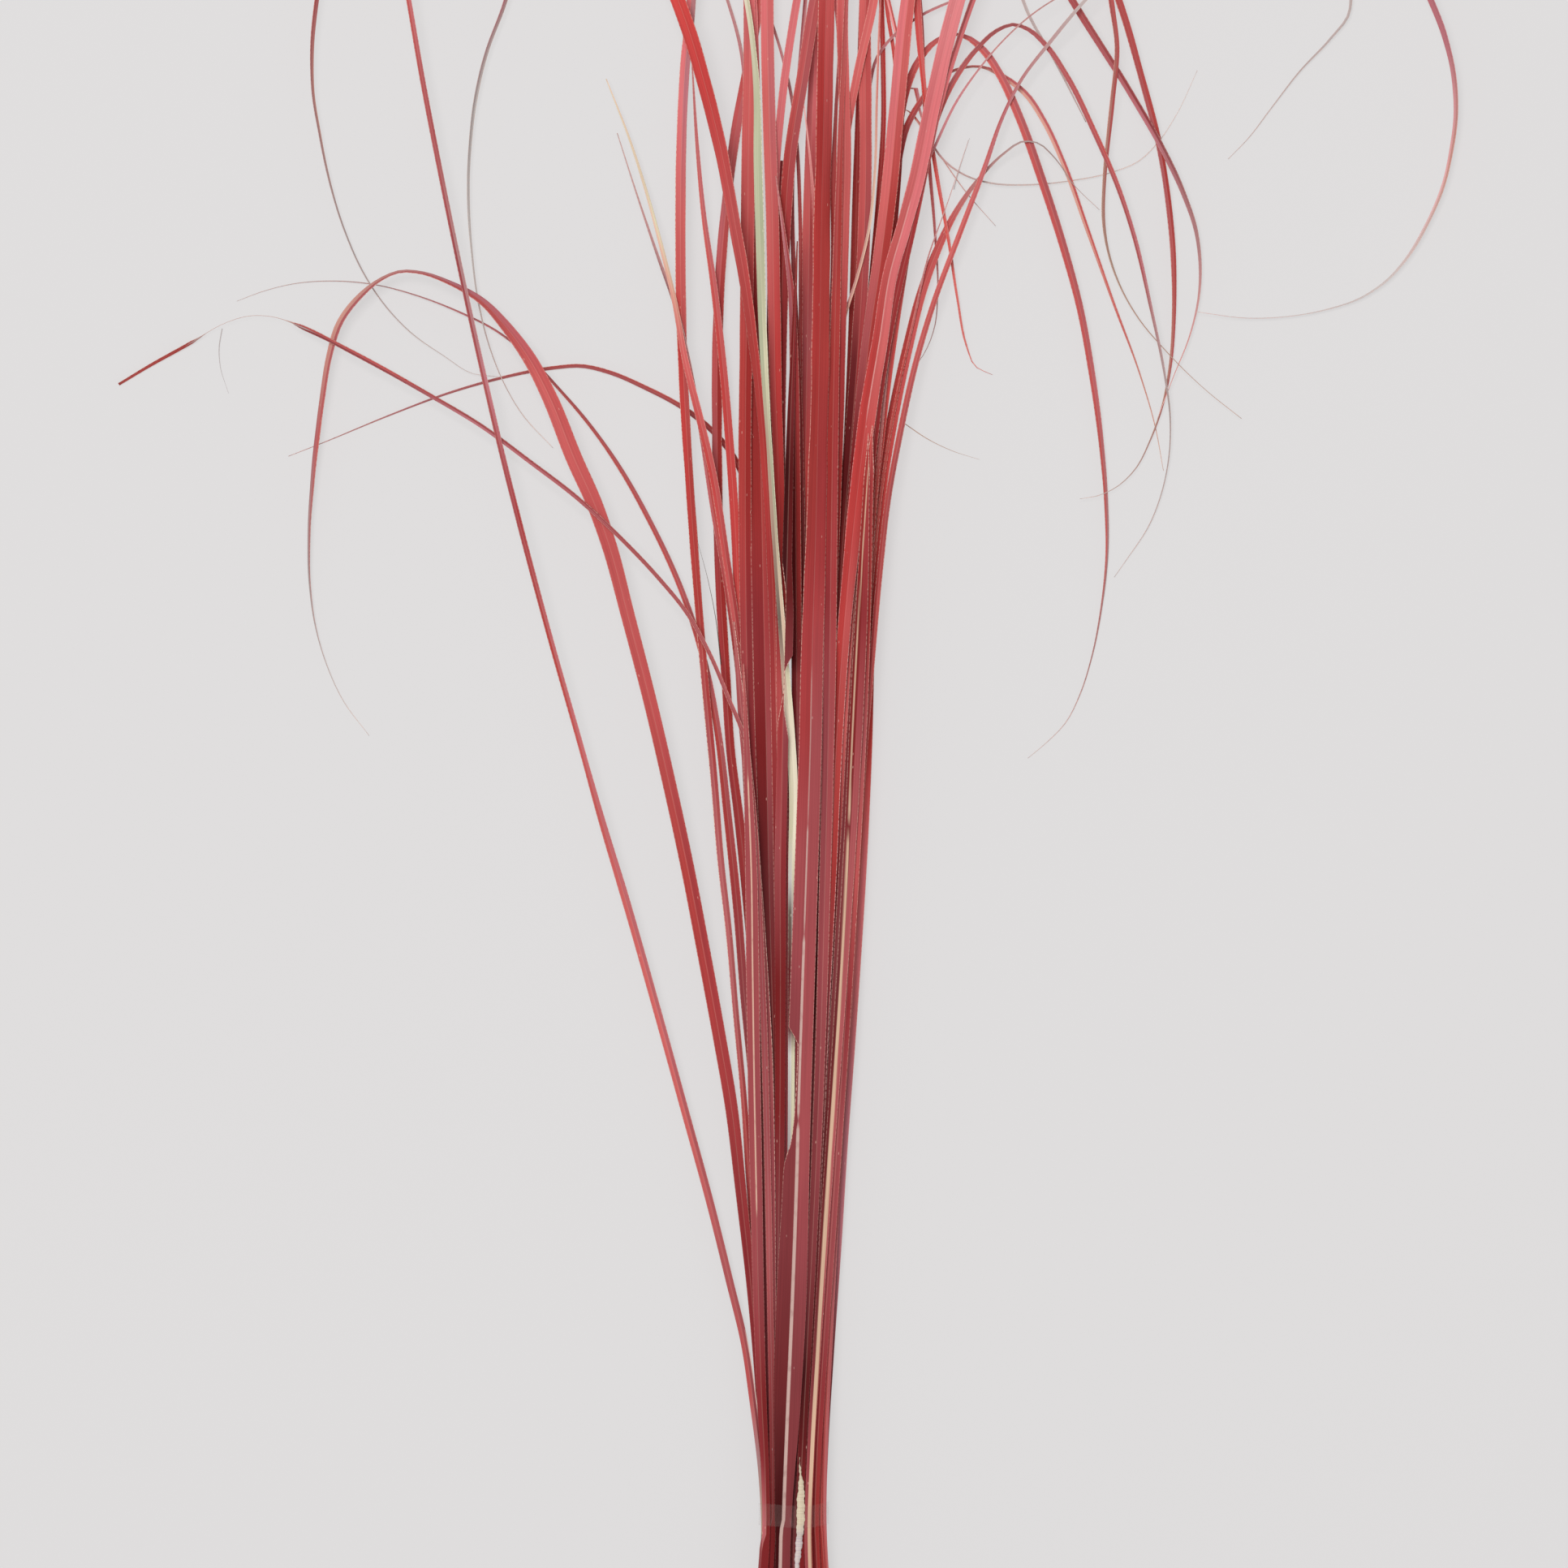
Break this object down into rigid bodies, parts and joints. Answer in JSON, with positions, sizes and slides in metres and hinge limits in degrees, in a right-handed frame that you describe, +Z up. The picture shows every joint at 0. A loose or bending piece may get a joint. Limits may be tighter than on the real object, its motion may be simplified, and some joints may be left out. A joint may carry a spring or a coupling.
{
  "type": "bundle of dyed pampas grass leaves",
  "caption": "Tied bundle of dried pampas grass leaf blades dyed red, with one undyed green blade, held near the cut butts by a clear elastic band and lying flat.",
  "frame": {"origin": "bottom centre of the whole bundle's bounding box, on the surface it lies on", "axes": "+Y runs from the cut butts and the band to the leaf tips, +X is across the fan, +Z is up off the surface"},
  "size_m": [0.4146, 0.7026, 0.0273],
  "materials": {
    "dyed_leaf_red": "matt dried leaf dyed red, fine lengthwise veins",
    "dyed_leaf_pink": "matt dried leaf dyed pale red, fine lengthwise veins",
    "dyed_leaf_dark": "matt dried leaf dyed dark red",
    "undyed_leaf": "dried grey-green leaf, undyed, with a cream edge",
    "clear_band": "clear stretched elastic film, glossy"
  },
  "bodies": {
    "root": {"leaf_arch_left_cut": "dyed_leaf_red", "leaf_arch_left_great": "dyed_leaf_red", "leaf_arch_left_long": "dyed_leaf_red", "leaf_arch_left_thin": "dyed_leaf_red", "leaf_arch_right_inner": "dyed_leaf_red", "leaf_arch_right_main": "dyed_leaf_red", "leaf_arch_right_outer": "dyed_leaf_pink", "leaf_arch_right_short": "dyed_leaf_red", "leaf_back_left_medium": "dyed_leaf_red", "leaf_bright_cross_a": "dyed_leaf_red", "leaf_bright_cross_b": "dyed_leaf_red", "leaf_core_centre_dark": "dyed_leaf_dark", "leaf_core_left_dark": "dyed_leaf_dark", "leaf_core_mid_dark": "dyed_leaf_dark", "leaf_core_right_dark": "dyed_leaf_dark", "leaf_cross_left_a": "dyed_leaf_red", "leaf_cross_left_b": "dyed_leaf_red", "leaf_edge_right_low": "dyed_leaf_red", "leaf_front_centre_streak": "dyed_leaf_red", "leaf_front_dark_sliver": "dyed_leaf_dark", "leaf_front_left_dashed": "dyed_leaf_red", "leaf_front_left_rough": "dyed_leaf_red", "leaf_front_left_upper": "dyed_leaf_red", "leaf_front_mid_mauve": "dyed_leaf_pink", "leaf_front_right_band": "dyed_leaf_red", "leaf_front_right_great": "dyed_leaf_red", "leaf_front_right_pale_edge": "dyed_leaf_red", "leaf_green_undyed": "undyed_leaf", "leaf_hang_left_great": "dyed_leaf_red", "leaf_hang_left_outer": "dyed_leaf_red", "leaf_hang_right_bright": "dyed_leaf_pink", "leaf_hang_right_great": "dyed_leaf_pink", "leaf_hang_right_inner": "dyed_leaf_red", "leaf_hang_right_outer_a": "dyed_leaf_red", "leaf_hang_right_outer_b": "dyed_leaf_red", "leaf_hang_right_slender": "dyed_leaf_red", "leaf_hang_right_v": "dyed_leaf_pink", "leaf_hook_right_back": "dyed_leaf_red", "leaf_hook_right_small": "dyed_leaf_dark", "leaf_lean_left_straight": "dyed_leaf_red", "leaf_lean_right_thin": "dyed_leaf_pink", "leaf_lean_right_whisker": "dyed_leaf_dark", "leaf_rise_left_bright": "dyed_leaf_red", "leaf_rise_narrow_mid": "dyed_leaf_red", "leaf_rise_right_thin": "dyed_leaf_red", "leaf_stripe_right_cream": "dyed_leaf_red", "leaf_tip_centre_pink": "dyed_leaf_pink", "leaf_tip_left_cream": "dyed_leaf_red", "leaf_tip_left_dark": "dyed_leaf_dark", "leaf_twist_right_pale": "dyed_leaf_pink", "leaf_whisker_cream_right": "dyed_leaf_pink", "leaf_whisker_right_long": "dyed_leaf_pink", "leaf_whisker_right_low": "dyed_leaf_dark", "leaf_whisker_right_mauve": "dyed_leaf_dark", "tie_band": "clear_band"}
  },
  "joints": []
}
